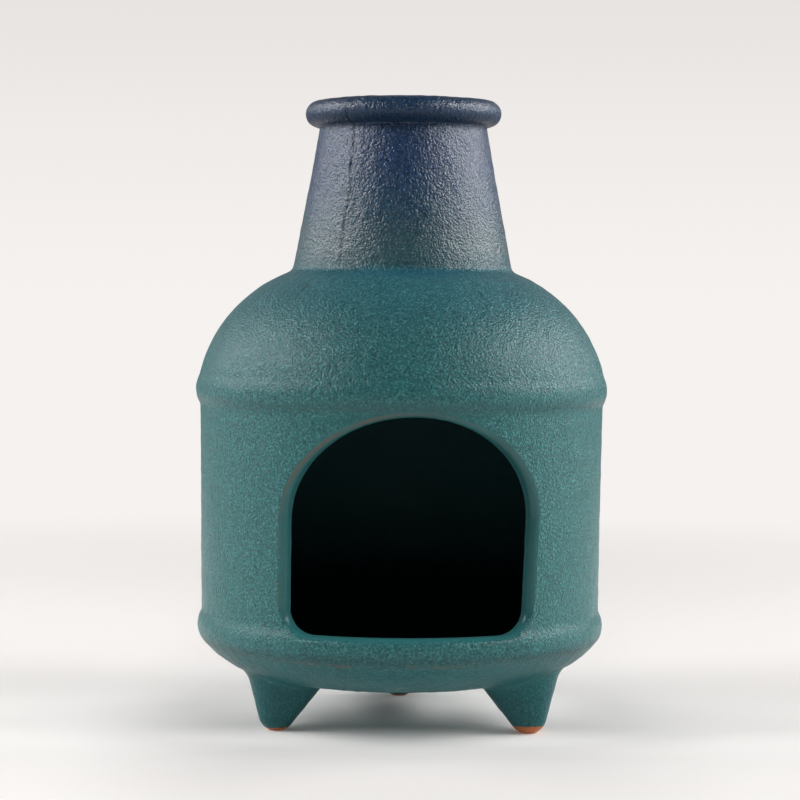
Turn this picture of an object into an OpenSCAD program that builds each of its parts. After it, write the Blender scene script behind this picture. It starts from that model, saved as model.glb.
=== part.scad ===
// Small tabletop chiminea in glazed earthenware: a round firebox on three conical feet,
// a domed shoulder, a tapering chimney with a rolled rim, and a raised band over each
// body seam. Millimetres, +Z up, ground at z = 0, fire mouth towards -Y.

/* [Overall] */
// Height from the ground to the top of the rim; the neck takes up any change
height = 240; // [226:1:262]
// Thickness of the thrown walls
wall = 5; // [4.5:0.25:5.5]
// How far each half of a lapped seam reaches past the other
lap = 3; // [2:0.5:4]
// Depth of the rebate that a band is pressed into
rebate = 1.5; // [1:0.25:2]

/* [Feet] */
// Gap between the ground and the flat underside
foot_clear = 18.8; // [15:0.2:22]
// Distance of the front left foot from the axis, at the ground
foot_left_r = 53.5; // [48:0.1:57]
// Distance of the front right foot from the axis, at the ground
foot_right_r = 56.9; // [48:0.1:57]
// Angle of the front left foot from the front
foot_left_turn = 63.5; // [50:0.5:75]
// Angle of the front right foot from the front
foot_right_turn = 62; // [50:0.5:75]
// Distance of the rear foot from the axis, at the ground
foot_rear_r = 63.5; // [52:0.5:64]
// Radius at which a foot's cone would meet the ground
foot_tip_r = 4.6; // [4:0.1:7]
// Half angle of a foot's cone
foot_flare = 26.7; // [18:0.2:27]
// Outward lean of a foot
foot_splay = 13.5; // [0:0.5:14]
// Angle by which the rear foot leans in
foot_rear_splay = 16; // [12:0.5:18]

/* [Base dish] */
// Radius of the flat part of the underside
dish_flat_r = 47.4; // [42:0.2:52]
// Radius of the curve from the underside up to the wall
dish_arc_r = 37.2; // [34:0.2:42]

/* [Belly] */
// Outer radius of the belly at the lower band
belly_r_low = 76.8; // [74:0.1:79]
// Outer radius of the belly at the shoulder band
belly_r_high = 77.65; // [75:0.05:80]
// Height from the lower band to the shoulder band, middle to middle
belly_h = 90.8; // [84:0.2:98]

/* [Bands] */
// Height of the lower band's middle above the flat underside
band_low_rise = 19.5; // [18:0.1:21]
// How far the lower band stands out of the wall
band_low_out = 1.6; // [1:0.1:3]
// Half the height of the lower band
band_low_half = 5.25; // [4:0.05:5.5]
// How far the shoulder band stands out of the wall
band_high_out = 1.75; // [1:0.05:3]
// Half the height of the shoulder band
band_high_half = 5.8; // [4.5:0.1:6.5]

/* [Dome] */
// Radius of the dome's curve
dome_arc_r = 55.8; // [55.2:0.1:57]
// Distance of the curve's centre from the axis
dome_centre_r = 23.7; // [23:0.1:24.3]
// Drop from the shoulder band's middle to the curve's centre
dome_drop = 7.3; // [6.5:0.1:8]

/* [Neck and rim] */
// Outer radius where the neck meets the dome
neck_foot_r = 42.26; // [41:0.1:44]
// Outer radius where the neck goes into the rim
neck_top_r = 31.54; // [30:0.1:33]
// Inner radius at the top of the neck
flue_r = 28; // [26.5:0.1:28.5]
// Distance of the rim roll's middle from the axis
rim_r = 32.9; // [32:0.1:34]
// Radius of the rim roll
rim_roll_r = 4.9; // [4.4:0.1:5.5]

/* [Fire mouth] */
// Half width of the mouth where the arch starts
mouth_half = 42.5; // [36:0.1:44]
// Half width of the mouth at the sill's corners
mouth_half_low = 42; // [36:0.1:44]
// Height of the sill above the lower band's middle
sill_rise = 3.7; // [2.5:0.1:8]
// Height of the arch's springing above the sill
mouth_straight = 42; // [34:0.5:44]
// Rise of the arch
mouth_rise = 37.6; // [30:0.1:38.5]
// Radius of the mouth's lower corners
mouth_corner = 9; // [6:0.5:12]
// Width of the worn bevel around the mouth
lip = 1.2; // [0.5:0.1:1.5]
// Sideways turn of the hand-cut mouth about the chiminea's axis
mouth_turn = 3; // [-4:0.1:4]
// Lean of the hand-cut mouth's sides
mouth_lean = 1.4; // [-3:0.1:3]

/* [Hidden] */
$fn = 96;

teal = "#3d6f70";
deep_teal = "#335f64";
dusk_blue = "#35566a";
navy = "#28415c";

// Levels above the ground
dish_arc_z = foot_clear + dish_arc_r;
band_low_z = foot_clear + band_low_rise;
band_high_z = band_low_z + belly_h;
seam_low_z = band_low_z - 0.7;
seam_high_z = band_high_z;
dome_arc_z = band_high_z - dome_drop;
sill_z = band_low_z + sill_rise;
rim_z = height - rim_roll_r;
neck_top_z = rim_z - 2.1;

// Radii of the walls
belly_in_low = belly_r_low - wall;
belly_in_high = belly_r_high - wall;
rebate_r_low = belly_r_low - rebate;
rebate_r_high = belly_r_high - rebate;
lap_r_low = (belly_in_low + rebate_r_low) / 2;
lap_r_high = (belly_in_high + rebate_r_high) / 2;

// Dish: where its two curves end
dish_in_r = dish_arc_r - wall;
dish_out_end = -asin((dish_arc_z - band_low_z + band_low_half) / dish_arc_r);
dish_in_end = -acos((belly_in_low - dish_flat_r) / dish_in_r);

// Dome: where its two curves start and end, and the seat of the neck
dome_in_r = dome_arc_r - wall;
dome_out_start = asin((dome_drop + band_high_half) / dome_arc_r);
dome_out_end = acos((neck_foot_r - dome_centre_r) / dome_arc_r);
dome_in_start = acos((belly_in_high - dome_centre_r) / dome_in_r);
spigot_r = neck_foot_r - wall / 2;
dome_in_end = acos((spigot_r - dome_centre_r) / dome_in_r);
crease_z = dome_arc_z + dome_arc_r * sin(dome_out_end);
neck_ledge_z = crease_z - wall / 2;
neck_end_z = dome_arc_z + dome_in_r * sin(dome_in_end);
neck_in_low = neck_foot_r - wall;

// Mouth: the middle that it leans about, and the radius its width is measured at
mouth_mid_z = sill_z + mouth_straight;
mouth_face_r = (belly_in_low + belly_in_high) / 2;
arch_steps = 48;
corner_steps = 8;

// Feet: how much of the round nose is ground away flat
foot_sink = 0.4;

// Points of an arc about [cx, cz], from angle a0 to a1
function arc(cx, cz, r, a0, a1, n = 20) =
    [for (i = [0 : n]) let (a = a0 + (a1 - a0) * i / n) [cx + r * cos(a), cz + r * sin(a)]];

// Outline of the mouth seen from the front, grown outwards by g: arch, then lower corners
function mouth_outline(g) = concat(
    [for (i = [0 : arch_steps]) let (a = 180 * i / arch_steps)
        [(mouth_half + g) * cos(a), mouth_mid_z + (mouth_rise + g) * sin(a)]],
    arc(mouth_corner - mouth_half_low, sill_z + mouth_corner, mouth_corner + g,
        180, 270, corner_steps),
    arc(mouth_half_low - mouth_corner, sill_z + mouth_corner, mouth_corner + g,
        270, 360, corner_steps));

// A point of the outline after the sides lean over; the sill stays level
function leaned(p) = [p[0] + (p[1] - mouth_mid_z) * tan(mouth_lean), p[1]];

// A point of the outline laid on an upright cylinder of radius r, along a radius
function on_wall(p, r) = let (a = mouth_turn + asin(p[0] / mouth_face_r))
    [r * sin(a), -r * cos(a), p[1]];

// Section of a band: a round moulding whose back fills the rebate
module band_section(wall_r, out, half, z) {
    round_r = (half * half + out * out) / (2 * out);
    intersection() {
        translate([wall_r + out - round_r, z])
            circle(r = round_r);
        translate([wall_r - rebate, z - half])
            square([rebate + 2 * out, 2 * half]);
    }
}

module neck_section() {
    polygon([
        [neck_in_low, neck_end_z],
        [spigot_r, neck_end_z],
        [spigot_r, neck_ledge_z],
        [neck_foot_r, neck_ledge_z],
        [neck_foot_r, crease_z],
        [neck_top_r, neck_top_z],
        [flue_r, neck_top_z]]);
}

// Everything the mouth takes away: rings of the outline joined along the radii
module mouth_cut() {
    rings = [[mouth_face_r - 12, 0], [belly_r_low - lip, 0], [belly_r_low + lip, 2 * lip],
             [belly_r_high + 12, 2 * lip]];
    n = len(mouth_outline(0));
    last = len(rings) - 1;
    points = concat(
        [for (ring = rings) for (p = mouth_outline(ring[1])) on_wall(leaned(p), ring[0])],
        [for (k = [0, last]) on_wall([0, mouth_mid_z], rings[k][0])]);
    sides = [for (k = [0 : last - 1]) for (i = [0 : n - 1]) let (j = (i + 1) % n)
        each [[k * n + i, (k + 1) * n + j, k * n + j], [k * n + i, (k + 1) * n + i, (k + 1) * n + j]]];
    inner_cap = [for (i = [0 : n - 1]) [(last + 1) * n, i, (i + 1) % n]];
    outer_cap = [for (i = [0 : n - 1])
        [(last + 1) * n + 1, last * n + (i + 1) % n, last * n + i]];
    polyhedron(points, concat(sides, inner_cap, outer_cap));
}

// The bowl of the dish with its hollow filled in, to shape what is pressed against it
module dish_solid() {
    rotate_extrude()
        polygon(concat(
            [[0, dish_arc_z], [0, foot_clear]],
            arc(dish_flat_r, dish_arc_z, dish_arc_r, -90, 0)));
}

// Section of a foot about its own axis: a cone that ends in a blunt, round nose
module foot_section() {
    length = foot_clear + 16;
    growth = tan(foot_flare);
    nose_round = (foot_tip_r - foot_sink * growth) / (1 / cos(foot_flare) - growth);
    polygon(concat(
        arc(0, nose_round - foot_sink, nose_round, -90, -foot_flare),
        [[foot_tip_r + length * growth, length],
         [0, length]]));
}

// A foot that leans in towards the dish, stands flat on the ground and fits the dish above
module foot(azimuth, distance, splay) {
    difference() {
        intersection() {
            rotate([0, 0, azimuth])
                translate([0, -distance, 0])
                    rotate([-splay, 0, 0])
                        rotate_extrude()
                            foot_section();
            translate([-2 * distance, -2 * distance, 0])
                cube([4 * distance, 4 * distance, dish_arc_z]);
        }
        dish_solid();
    }
}

// Round bowl that closes the firebox and holds the ash, with a tongue for the belly
module base_dish() {
    color(deep_teal)
        rotate_extrude()
            polygon(concat(
                [[0, foot_clear]],
                arc(dish_flat_r, dish_arc_z, dish_arc_r, -90, dish_out_end),
                [[rebate_r_low, band_low_z - band_low_half],
                 [rebate_r_low, seam_low_z - lap / 2],
                 [lap_r_low, seam_low_z - lap / 2],
                 [lap_r_low, seam_low_z + lap / 2],
                 [belly_in_low, seam_low_z + lap / 2]],
                arc(dish_flat_r, dish_arc_z, dish_in_r, dish_in_end, -90),
                [[0, foot_clear + wall]]));
}

// Moulding over the seam between dish and belly, notched where the sill meets it
module lower_band() {
    color(teal)
        difference() {
            rotate_extrude()
                band_section(belly_r_low, band_low_out, band_low_half, band_low_z);
            mouth_cut();
        }
}

// Firebox wall with the arched mouth
module belly() {
    color(teal)
        difference() {
            rotate_extrude()
                polygon([
                    [lap_r_low, seam_low_z - lap / 2],
                    [rebate_r_low, seam_low_z - lap / 2],
                    [rebate_r_low, band_low_z + band_low_half],
                    [belly_r_low, band_low_z + band_low_half],
                    [belly_r_high, band_high_z - band_high_half],
                    [rebate_r_high, band_high_z - band_high_half],
                    [rebate_r_high, seam_high_z + lap / 2],
                    [lap_r_high, seam_high_z + lap / 2],
                    [lap_r_high, seam_high_z - lap / 2],
                    [belly_in_high, seam_high_z - lap / 2],
                    [belly_in_low, seam_low_z + lap / 2],
                    [lap_r_low, seam_low_z + lap / 2]]);
            mouth_cut();
        }
}

// Moulding over the seam between belly and dome
module shoulder_band() {
    color(teal)
        rotate_extrude()
            band_section(belly_r_high, band_high_out, band_high_half, band_high_z);
}

// Domed shoulder with a lapped lower edge and a counterbored seat for the neck
module dome() {
    color(dusk_blue)
        rotate_extrude()
            polygon(concat(
                [[belly_in_high, seam_high_z - lap / 2],
                 [lap_r_high, seam_high_z - lap / 2],
                 [lap_r_high, seam_high_z + lap / 2],
                 [rebate_r_high, seam_high_z + lap / 2],
                 [rebate_r_high, band_high_z + band_high_half]],
                arc(dome_centre_r, dome_arc_z, dome_arc_r, dome_out_start, dome_out_end, 32),
                [[neck_foot_r, neck_ledge_z],
                 [spigot_r, neck_ledge_z]],
                arc(dome_centre_r, dome_arc_z, dome_in_r, dome_in_end, dome_in_start, 32)));
}

// Tapering chimney with a stepped spigot that sits in the dome
module neck() {
    color(navy)
        rotate_extrude()
            neck_section();
}

// Rolled rim, wrapped over the top edge of the neck
module rim_roll() {
    color(navy)
        rotate_extrude()
            difference() {
                translate([rim_r, rim_z])
                    circle(r = rim_roll_r);
                neck_section();
            }
}

// Feet, at 60 degrees either side of the mouth and at the back
module foot_left() {
    color(teal)
        foot(-foot_left_turn, foot_left_r, foot_splay);
}

module foot_right() {
    color(teal)
        foot(foot_right_turn, foot_right_r, foot_splay);
}

module foot_rear() {
    color(teal)
        foot(180, foot_rear_r, foot_rear_splay);
}

base_dish();
lower_band();
belly();
shoulder_band();
dome();
neck();
rim_roll();
foot_left();
foot_right();
foot_rear();
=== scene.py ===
"""Looks of the tabletop chiminea: a sprayed, pebbled glaze over a hand-finished clay body.

Lengths are in millimetres and angles in degrees until a mesh is made. Azimuth 0 is the fire
mouth's side, towards -Y, and it grows towards +X.
"""

import math

import bpy
import numpy as np
from mathutils import Matrix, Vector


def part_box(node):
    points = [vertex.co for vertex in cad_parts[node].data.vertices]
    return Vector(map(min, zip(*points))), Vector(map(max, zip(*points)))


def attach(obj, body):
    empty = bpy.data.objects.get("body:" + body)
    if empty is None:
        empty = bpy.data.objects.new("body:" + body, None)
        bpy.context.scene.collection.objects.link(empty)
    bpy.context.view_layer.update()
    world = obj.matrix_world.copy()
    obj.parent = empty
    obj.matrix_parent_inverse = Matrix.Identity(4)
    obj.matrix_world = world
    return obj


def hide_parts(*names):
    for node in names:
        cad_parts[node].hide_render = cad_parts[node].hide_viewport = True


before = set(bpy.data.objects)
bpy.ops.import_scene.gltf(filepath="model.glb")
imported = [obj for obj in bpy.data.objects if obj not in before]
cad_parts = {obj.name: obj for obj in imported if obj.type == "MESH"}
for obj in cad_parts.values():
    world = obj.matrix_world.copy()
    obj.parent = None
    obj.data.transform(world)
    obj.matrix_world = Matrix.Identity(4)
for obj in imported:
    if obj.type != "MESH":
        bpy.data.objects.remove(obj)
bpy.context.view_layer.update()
scene = bpy.context.scene

# ---- sizes, from the frame


def corners(node):
    """A CAD node's lowest and highest corners in millimetres."""
    low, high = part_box(node)
    return np.array(low) * 1000, np.array(high) * 1000


def band_size(node):
    """A band's radius, middle height and half height."""
    low, high = corners(node)
    return high[0], (low[2] + high[2]) / 2, (high[2] - low[2]) / 2


RIM_BOX, NECK_BOX, DOME_BOX = corners("rim_roll"), corners("neck"), corners("dome")
UNDERSIDE_Z = corners("base_dish")[0][2]
LOW_BAND_R, LOW_BAND_Z, LOW_HALF = band_size("lower_band")
HIGH_BAND_R, HIGH_BAND_Z, HIGH_HALF = band_size("shoulder_band")
LOW_BAND_FOOT, LOW_BAND_HEAD = LOW_BAND_Z - LOW_HALF, LOW_BAND_Z + LOW_HALF
HIGH_BAND_FOOT, HIGH_BAND_HEAD = HIGH_BAND_Z - HIGH_HALF, HIGH_BAND_Z + HIGH_HALF
CREASE_R, CREASE_Z = NECK_BOX[1][0], DOME_BOX[1][2]
NECK_END_Z, NECK_TOP_Z = NECK_BOX[0][2], NECK_BOX[1][2]
ROLL_R = (RIM_BOX[1][2] - RIM_BOX[0][2]) / 2
RIM_R, RIM_Z = RIM_BOX[1][0] - ROLL_R, RIM_BOX[1][2] - ROLL_R

# The design's other dimensions, the same as in the part's source
WALL = 5.0
LAP = 3.0
REBATE = 1.5
DISH_FLAT_R, DISH_ARC_R = 47.4, 37.2
BELLY_R_LOW, BELLY_R_HIGH = 76.8, 77.65
DOME_ARC_R, DOME_CENTRE_R, DOME_DROP = 55.8, 23.7, 7.3
NECK_TOP_R, FLUE_R = 31.54, 28.0
SILL_RISE, MOUTH_STRAIGHT, MOUTH_RISE = 3.7, 42.0, 37.6
MOUTH_HALF, MOUTH_HALF_LOW, MOUTH_CORNER = 42.5, 42.0, 9.0
MOUTH_TURN, MOUTH_LEAN = 3.0, 1.4
FOOT_TIP_R, FOOT_FLARE, FOOT_SINK = 4.6, 26.7, 0.4
FEET = {  # azimuth, distance from the axis at the ground, lean
    "foot_left": (-63.5, 53.5, 13.5),
    "foot_right": (62.0, 56.9, 13.5),
    "foot_rear": (180.0, 63.5, 16.0),
}

DISH_ARC_Z = UNDERSIDE_Z + DISH_ARC_R
DOME_ARC_Z = HIGH_BAND_Z - DOME_DROP
SEAM_LOW_Z = LOW_BAND_Z - 0.7
LAP_LOW_FOOT, LAP_LOW_HEAD = SEAM_LOW_Z - LAP / 2, SEAM_LOW_Z + LAP / 2
LAP_HIGH_FOOT, LAP_HIGH_HEAD = HIGH_BAND_Z - LAP / 2, HIGH_BAND_Z + LAP / 2
MOUTH_MID_Z = LOW_BAND_Z + SILL_RISE + MOUTH_STRAIGHT
BELLY_IN_LOW, BELLY_IN_HIGH = BELLY_R_LOW - WALL, BELLY_R_HIGH - WALL
REBATE_LOW, REBATE_HIGH = BELLY_R_LOW - REBATE, BELLY_R_HIGH - REBATE
LAP_LOW, LAP_HIGH = (BELLY_IN_LOW + REBATE_LOW) / 2, (BELLY_IN_HIGH + REBATE_HIGH) / 2
SPIGOT_R = CREASE_R - WALL / 2
LEDGE_Z = CREASE_Z - WALL / 2
MOUTH_FACE_R = (BELLY_IN_LOW + BELLY_IN_HIGH) / 2

# ---- the section of the pot

SAMPLE = 0.1  # spacing of the section's points
ROW_BEND = 5.0  # degrees that the section bends between two rows
SOFTEN = 0.8  # how far glaze and sponging round every edge off
SOFTEN_CREASE = 1.5  # the same where the neck meets the dome
CREASE_REACH = 6.0  # how far from the crease that fades out


def line(start, end):
    count = max(2, round(math.dist(start, end) / SAMPLE))
    return np.linspace(start, end, count, endpoint=False)


def arc(centre, radius, start, end):
    count = max(2, round(abs(math.radians(end - start)) * radius / SAMPLE))
    turn = np.radians(np.linspace(start, end, count, endpoint=False))
    return np.column_stack([centre[0] + radius * np.cos(turn), centre[1] + radius * np.sin(turn)])


def moulding(peak_r, wall_r, half, z):
    """Outline of a band: a round moulding that stands out of the wall."""
    out = peak_r - wall_r
    radius = (half * half + out * out) / (2 * out)
    reach = math.degrees(math.asin(half / radius))
    return arc((peak_r - radius, z), radius, -reach, reach)


def crossing_of_neck_and_roll():
    """Angle on the rim roll at which the neck's outside runs into it."""
    slope = (NECK_TOP_R - CREASE_R) / (NECK_TOP_Z - CREASE_Z)
    turns = np.arange(-130.0, -60.0, 0.1)
    r = RIM_R + ROLL_R * np.cos(np.radians(turns))
    z = RIM_Z + ROLL_R * np.sin(np.radians(turns))
    return turns[np.argmax(r >= CREASE_R + slope * (z - CREASE_Z))]


def softened(points, spread):
    """The same path with its corners rounded by a moving average. Both ends are on the axis."""
    reach = int(4 * spread / SAMPLE)
    weights = np.exp(-0.5 * (np.arange(-reach, reach + 1) * SAMPLE / spread) ** 2)
    weights /= weights.sum()
    mirror = np.array([-1, 1])
    padded = np.vstack([points[reach:0:-1] * mirror, points, points[-2:-reach - 2:-1] * mirror])
    return np.column_stack([np.convolve(padded[:, k], weights, "valid") for k in (0, 1)])


def draw_section():
    """Points, arc lengths and outward normals of the section, and where its named places are."""
    dish_end = -math.degrees(math.asin((DISH_ARC_Z - LOW_BAND_Z + LOW_HALF) / DISH_ARC_R))
    dome_start = math.degrees(math.asin((DOME_DROP + HIGH_HALF) / DOME_ARC_R))
    dome_end = math.degrees(math.acos((CREASE_R - DOME_CENTRE_R) / DOME_ARC_R))
    inner_r = DOME_ARC_R - WALL
    inner_start = math.degrees(math.acos((SPIGOT_R - DOME_CENTRE_R) / inner_r))
    inner_end = math.degrees(math.acos((BELLY_IN_HIGH - DOME_CENTRE_R) / inner_r))
    bowl_r = DISH_ARC_R - WALL
    bowl_start = -math.degrees(math.acos((BELLY_IN_LOW - DISH_FLAT_R) / bowl_r))
    bowl_top_z = DISH_ARC_Z + bowl_r * math.sin(math.radians(bowl_start))
    inner_top_z = DOME_ARC_Z + inner_r * math.sin(math.radians(inner_end))
    roll_start = crossing_of_neck_and_roll()
    roll_z = RIM_Z + ROLL_R * math.sin(math.radians(roll_start))
    roll_r = RIM_R + ROLL_R * math.cos(math.radians(roll_start))
    legs = [
        ("flat", line((0, UNDERSIDE_Z), (DISH_FLAT_R, UNDERSIDE_Z))),
        ("dish", arc((DISH_FLAT_R, DISH_ARC_Z), DISH_ARC_R, -90, dish_end)),
        ("low_band", moulding(LOW_BAND_R, BELLY_R_LOW, LOW_HALF, LOW_BAND_Z)),
        ("belly", line((BELLY_R_LOW, LOW_BAND_HEAD), (BELLY_R_HIGH, HIGH_BAND_FOOT))),
        ("high_band", moulding(HIGH_BAND_R, BELLY_R_HIGH, HIGH_HALF, HIGH_BAND_Z)),
        ("dome", arc((DOME_CENTRE_R, DOME_ARC_Z), DOME_ARC_R, dome_start, dome_end)),
        ("neck", line((CREASE_R, CREASE_Z), (roll_r, roll_z))),
        ("roll", arc((RIM_R, RIM_Z), ROLL_R, roll_start, 180)),
        ("rim", line((FLUE_R, RIM_Z), (FLUE_R, NECK_TOP_Z))),
        ("flue", line((FLUE_R, NECK_TOP_Z), (CREASE_R - WALL, NECK_END_Z))),
        ("spigot", line((CREASE_R - WALL, NECK_END_Z), (SPIGOT_R, NECK_END_Z))),
        ("dome_in", arc((DOME_CENTRE_R, DOME_ARC_Z), inner_r, inner_start, inner_end)),
        ("belly_in", line((BELLY_IN_HIGH, inner_top_z), (BELLY_IN_LOW, bowl_top_z))),
        ("bowl", arc((DISH_FLAT_R, DISH_ARC_Z), bowl_r, bowl_start, -90)),
        ("middle", np.vstack([line((DISH_FLAT_R, UNDERSIDE_Z + WALL), (0, UNDERSIDE_Z + WALL)),
            [[0, UNDERSIDE_Z + WALL]]])),
    ]
    ends = np.cumsum([len(points) for _, points in legs]) - 1
    sharp = np.vstack([points for _, points in legs])
    place = {name: end for (name, _), end in zip(legs, ends)}
    from_crease = (np.arange(len(sharp)) - place["dome"]) * SAMPLE
    near_crease = np.exp(-(from_crease / CREASE_REACH) ** 2)[:, None]
    path = softened(sharp, SOFTEN) * (1 - near_crease) + softened(sharp, SOFTEN_CREASE) * near_crease
    path[[0, -1], 0] = 0
    travel = np.concatenate([[0], np.cumsum(np.hypot(*np.diff(path, axis=0).T))])
    ahead = np.gradient(path, axis=0)
    ahead /= np.hypot(*ahead.T)[:, None]
    normal = np.column_stack([ahead[:, 1], -ahead[:, 0]])
    return path, travel, normal, {name: travel[i] for name, i in place.items()}, place


PATH, TRAVEL, NORMAL, AT, INDEX = draw_section()
HEADING = np.unwrap(np.arctan2(NORMAL[:, 1], NORMAL[:, 0]))


def travel_at(z, inner=False):
    """How far along the section the wall's outside, or its inside, reaches height z."""
    first, last = ("spigot", "bowl") if inner else ("flat", "neck")
    part = slice(INDEX[first], INDEX[last] + 1)
    heights, lengths = PATH[part, 1], TRAVEL[part]
    if inner:
        heights, lengths = heights[::-1], lengths[::-1]
    return np.interp(z, heights, lengths)


def row_shares(start, end, longest=1.1):
    """Where rows lie from 0 at the start to 1 at the end, close together where it bends."""
    fine = np.linspace(start, end, 2000)
    bend = np.abs(np.gradient(np.interp(fine, TRAVEL, HEADING), fine))
    need = np.maximum(1 / longest, np.degrees(bend) / ROW_BEND)
    cost = np.concatenate([[0], np.cumsum((need[1:] + need[:-1]) / 2 * np.diff(fine))])
    stops = np.interp(np.linspace(0, cost[-1], math.ceil(cost[-1]) + 1), cost, fine)
    return (stops - stops[0]) / (stops[-1] - stops[0])


# ---- the hand-made surface


def waves(seed, count, shortest, longest):
    """A random field made of plane waves with wavelengths in that range."""
    rng = np.random.default_rng(seed)
    way = rng.normal(size=(count, 3))
    way /= np.linalg.norm(way, axis=1)[:, None]
    ways = way * (2 * np.pi / rng.uniform(shortest, longest, count))[:, None]
    phases = rng.uniform(0, 2 * np.pi, count)
    return ways, phases


FIELDS = [  # height in millimetres, and the waves
    (0.10, waves(11, 24, 50, 130)),  # a slightly uneven form
    (0.03, waves(12, 32, 10, 24)),  # traces of fingers and sponge
    (0.035, waves(13, 48, 3.6, 6)),  # lumps in the glaze
]
CALM_R = 12.0  # the form is even towards the middle of the dish
SEAM_AZIMUTH = -33.9
SEAM_SWAYS = [(0.5, 0.13, 0.0), (0.3, 0.31, 1.0)]  # reach, radians per millimetre, start
RIDGE_HEIGHT, RIDGE_ASIDE, RIDGE_HALF = 0.16, -1.0, 1.0
GROOVE_DEPTH, GROOVE_ASIDE, GROOVE_HALF = 0.30, 0.2, 0.45
RIM_SLANT, RIM_DROP = 0.2, 0.22  # how far the rim rises to the right, and sits low
NORMAL_STEP = 0.4  # how far apart the points are that give a normal


def field(points, wave):
    """The field's value at each point, with a spread of about one."""
    ways, phases = wave
    return np.sin(points @ ways.T + phases).sum(axis=-1) * math.sqrt(2 / len(phases))


def smoothstep(value, low, high):
    t = np.clip((np.asarray(value, float) - low) / (high - low), 0, 1)
    return t * t * (3 - 2 * t)


def mould_seam(azimuth, r, z):
    """The raised, poorly fettled mould seam down the neck, with a groove on its right."""
    wander = sum(reach * np.sin(z * rate + start) for reach, rate, start in SEAM_SWAYS)
    across = np.radians(azimuth - SEAM_AZIMUTH) * r - wander
    on_neck = smoothstep(z, CREASE_Z - 2, CREASE_Z + 6) * (1 - smoothstep(z, RIM_Z - 2, RIM_Z + 1))
    ridge = RIDGE_HEIGHT * np.exp(-((across - RIDGE_ASIDE) / RIDGE_HALF) ** 2)
    groove = GROOVE_DEPTH * np.exp(-((across - GROOVE_ASIDE) / GROOVE_HALF) ** 2)
    return on_neck * (ridge - groove) * (0.75 + 0.25 * np.sin(z * 0.8))


def surface(azimuth, travel):
    """Points of the finished surface. Both arguments are arrays of one shape."""
    azimuth, travel = np.broadcast_arrays(np.asarray(azimuth, float), np.asarray(travel, float))
    r, z = np.interp(travel, TRAVEL, PATH[:, 0]), np.interp(travel, TRAVEL, PATH[:, 1])
    normal_r, normal_z = (np.interp(travel, TRAVEL, NORMAL[:, k]) for k in (0, 1))
    sine, cosine = np.sin(np.radians(azimuth)), np.cos(np.radians(azimuth))
    base = np.stack([r * sine, -r * cosine, z], axis=-1)
    lift = sum(size * field(base, wave) for size, wave in FIELDS)
    outside = travel < AT["roll"]
    lift = lift * smoothstep(r, 0, CALM_R) + outside * mould_seam(azimuth, r, z)
    r = r + lift * normal_r
    z = z + lift * normal_z
    r = np.minimum(r, HIGH_BAND_R)
    rim_tilt = smoothstep(z, CREASE_Z, NECK_TOP_Z) * (RIM_SLANT * r * sine / RIM_R - RIM_DROP)
    return np.stack([r * sine, -r * cosine, z + rim_tilt], axis=-1)


def surface_normal(azimuth, travel):
    turn = np.degrees(NORMAL_STEP / np.maximum(np.interp(travel, TRAVEL, PATH[:, 0]), 1))
    across = surface(azimuth + turn, travel) - surface(azimuth - turn, travel)
    along = surface(azimuth, travel + NORMAL_STEP) - surface(azimuth, travel - NORMAL_STEP)
    normal = np.cross(across, along)
    return normal / np.linalg.norm(normal, axis=-1)[..., None]


# ---- shells

COLUMNS = 432
AZIMUTHS = np.arange(COLUMNS) * 360 / COLUMNS - 180
RIM_GLAZE = 3.0  # where round the roll the glaze starts to fade
DARK_DEPTH = 16.0  # how far down the flue the glaze fades into the bare inside's dark colour
SHARP_ANGLE = 50.0  # edges that bend further than this stay sharp


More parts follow.
